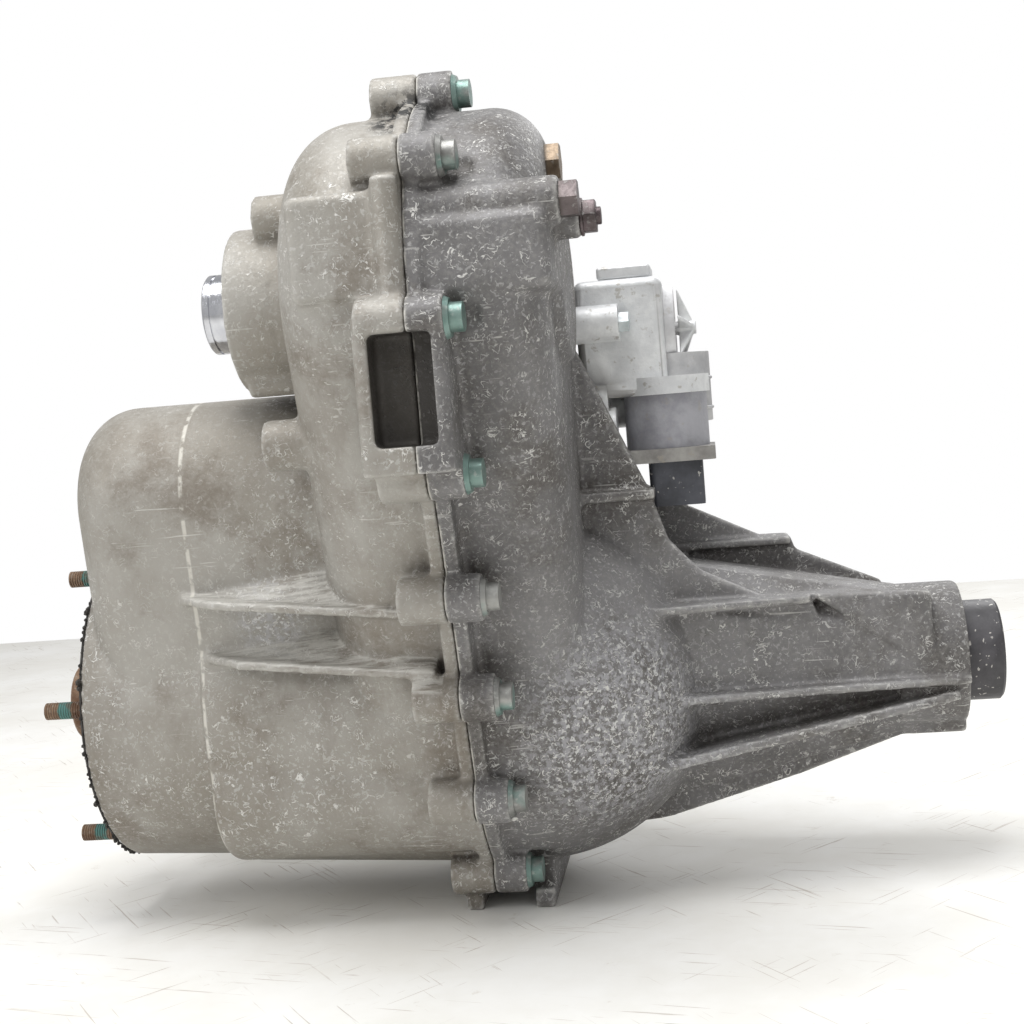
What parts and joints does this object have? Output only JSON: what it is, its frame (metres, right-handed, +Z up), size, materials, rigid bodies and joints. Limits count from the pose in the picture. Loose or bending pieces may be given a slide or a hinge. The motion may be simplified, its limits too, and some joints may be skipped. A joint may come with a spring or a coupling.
{
  "type": "transfer case",
  "caption": "Electric-shift four-wheel-drive transfer case in a split cast aluminium housing, with a studded input flange, side front output and webbed tail.",
  "frame": {"origin": "centre of the input flange's machined face, on the main shaft axis", "axes": "+X runs along the main shaft from the input flange to the rear output, +Z is up as the case stands in the picture, and -Y is the side of the front output"},
  "size_m": [0.574, 0.3388, 0.4802],
  "materials": {
    "cast_aluminium": "rough as-cast",
    "bright_aluminium": "clean die-cast",
    "zinc_steel": "zinc plated",
    "brown_plug": "dark oxide",
    "gasket_paper": "matt",
    "seal_rubber": "matt",
    "bearing_steel": "ground",
    "gear_steel": "hardened",
    "shaft_steel": "turned",
    "clutch_lining": "paper lining",
    "bronze": "sintered",
    "chain_steel": "blued",
    "black_plastic": "moulded",
    "motor_steel": "drawn can",
    "bronze_chromate": "green chromate"
  },
  "bodies": {
    "housing": {"front_case": "cast_aluminium", "rear_case": "cast_aluminium", "case_bolts": "zinc_steel", "input_studs": "zinc_steel", "input_gasket": "gasket_paper", "side_cover_bolt": "zinc_steel", "fill_plug": "brown_plug", "input_bearing": "bearing_steel", "input_seal": "seal_rubber", "front_output_bearing": "bearing_steel", "front_output_seal": "seal_rubber", "rear_bearing": "bearing_steel", "front_pilot_bearing": "bearing_steel", "tail_bushing": "bronze", "rear_seal_boot": "seal_rubber", "ring_gear": "gear_steel", "ball_ramp_fixed_cam": "gear_steel", "ball_ramp_balls": "bearing_steel", "drive_chain": "chain_steel", "oil_pump_body": "bright_aluminium", "oil_pickup_tube": "zinc_steel", "oil_strainer": "black_plastic", "shift_rail": "shaft_steel", "actuator_body": "bright_aluminium", "actuator_motor": "motor_steel", "motor_clamp": "bright_aluminium", "actuator_connector": "black_plastic", "actuator_cover": "bright_aluminium", "actuator_top_plate": "zinc_steel", "actuator_bolts": "bronze_chromate"},
    "main_shaft": {"main_shaft": "shaft_steel", "clutch_hub": "shaft_steel", "clutch_friction_plates": "clutch_lining", "sprocket_needle_bearing": "bearing_steel", "oil_pump_rotor": "bronze"},
    "input_shaft": {"input_shaft": "gear_steel"},
    "planet_carrier": {"planet_carrier": "gear_steel", "planet_pins": "bearing_steel"},
    "planet_1": {"planet_gear_1": "gear_steel"},
    "planet_2": {"planet_gear_2": "gear_steel"},
    "planet_3": {"planet_gear_3": "gear_steel"},
    "planet_4": {"planet_gear_4": "gear_steel"},
    "range_collar": {"range_collar": "gear_steel"},
    "drive_sprocket": {"drive_sprocket": "gear_steel", "clutch_drum": "shaft_steel", "clutch_steel_plates": "shaft_steel", "pressure_plate": "shaft_steel"},
    "front_output": {"front_output_shaft": "shaft_steel", "driven_sprocket": "gear_steel"},
    "clutch_cam": {"ball_ramp_turning_cam": "gear_steel", "cam_thrust_bearing": "bearing_steel"},
    "range_fork": {"range_fork": "bright_aluminium"},
    "shift_shaft": {"shift_shaft": "shaft_steel", "sector_cam": "gear_steel"}
  },
  "joints": [
    {"name": "rear_output_spin", "type": "hinge", "parent": "housing", "child": "main_shaft", "pos_m": [0, 0, 0], "axis": [1, 0, 0], "continuous": true},
    {"name": "input_spin", "type": "hinge", "parent": "housing", "child": "input_shaft", "pos_m": [0, 0, 0], "axis": [1, 0, 0], "continuous": true},
    {"name": "carrier_spin", "type": "hinge", "parent": "housing", "child": "planet_carrier", "pos_m": [0, 0, 0], "axis": [1, 0, 0], "continuous": true},
    {"name": "planet_1_spin", "type": "hinge", "parent": "planet_carrier", "child": "planet_1", "pos_m": [0.057, 0.0624, 0], "axis": [1, 0, 0], "continuous": true},
    {"name": "planet_2_spin", "type": "hinge", "parent": "planet_carrier", "child": "planet_2", "pos_m": [0.057, 0, 0.0624], "axis": [1, 0, 0], "continuous": true},
    {"name": "planet_3_spin", "type": "hinge", "parent": "planet_carrier", "child": "planet_3", "pos_m": [0.057, -0.0624, 0], "axis": [1, 0, 0], "continuous": true},
    {"name": "planet_4_spin", "type": "hinge", "parent": "planet_carrier", "child": "planet_4", "pos_m": [0.057, 0, -0.0624], "axis": [1, 0, 0], "continuous": true},
    {"name": "collar_slide", "type": "slide", "parent": "main_shaft", "child": "range_collar", "axis": [1, 0, 0], "range_m": [0, 0.014]},
    {"name": "front_output_spin", "type": "hinge", "parent": "housing", "child": "front_output", "pos_m": [0.13, -0.09, 0.23327], "axis": [1, 0, 0], "continuous": true, "deforming": ["drive_chain"]},
    {"name": "drive_sprocket_spin", "type": "hinge", "parent": "housing", "child": "drive_sprocket", "pos_m": [0.196, 0, 0], "axis": [1, 0, 0], "continuous": true},
    {"name": "shift_shaft_turn", "type": "hinge", "parent": "housing", "child": "shift_shaft", "pos_m": [0.13, -0.024, 0.15], "axis": [1, 0, 0], "range_deg": [0, 60]},
    {"name": "fork_slide", "type": "slide", "parent": "housing", "child": "range_fork", "axis": [1, 0, 0], "range_m": [0, 0.014]},
    {"name": "clutch_cam_turn", "type": "hinge", "parent": "housing", "child": "clutch_cam", "pos_m": [0.13, 0, 0], "axis": [1, 0, 0], "range_deg": [0, 25]}
  ],
  "couplings": [
    {"joint": "input_spin", "follows": "rear_output_spin", "ratio": 1},
    {"joint": "carrier_spin", "follows": "rear_output_spin", "ratio": 0.36458},
    {"joint": "planet_1_spin", "follows": "rear_output_spin", "ratio": -1.7107},
    {"joint": "planet_2_spin", "follows": "rear_output_spin", "ratio": -1.7107},
    {"joint": "planet_3_spin", "follows": "rear_output_spin", "ratio": -1.7107},
    {"joint": "planet_4_spin", "follows": "rear_output_spin", "ratio": -1.7107},
    {"joint": "drive_sprocket_spin", "follows": "front_output_spin", "ratio": 1},
    {"joint": "shift_shaft_turn", "follows": "fork_slide", "rad_per_m": 74.79},
    {"joint": "collar_slide", "follows": "fork_slide", "ratio": 1},
    {"joint": "clutch_cam_turn", "follows": "fork_slide", "rad_per_m": 31.16}
  ]
}
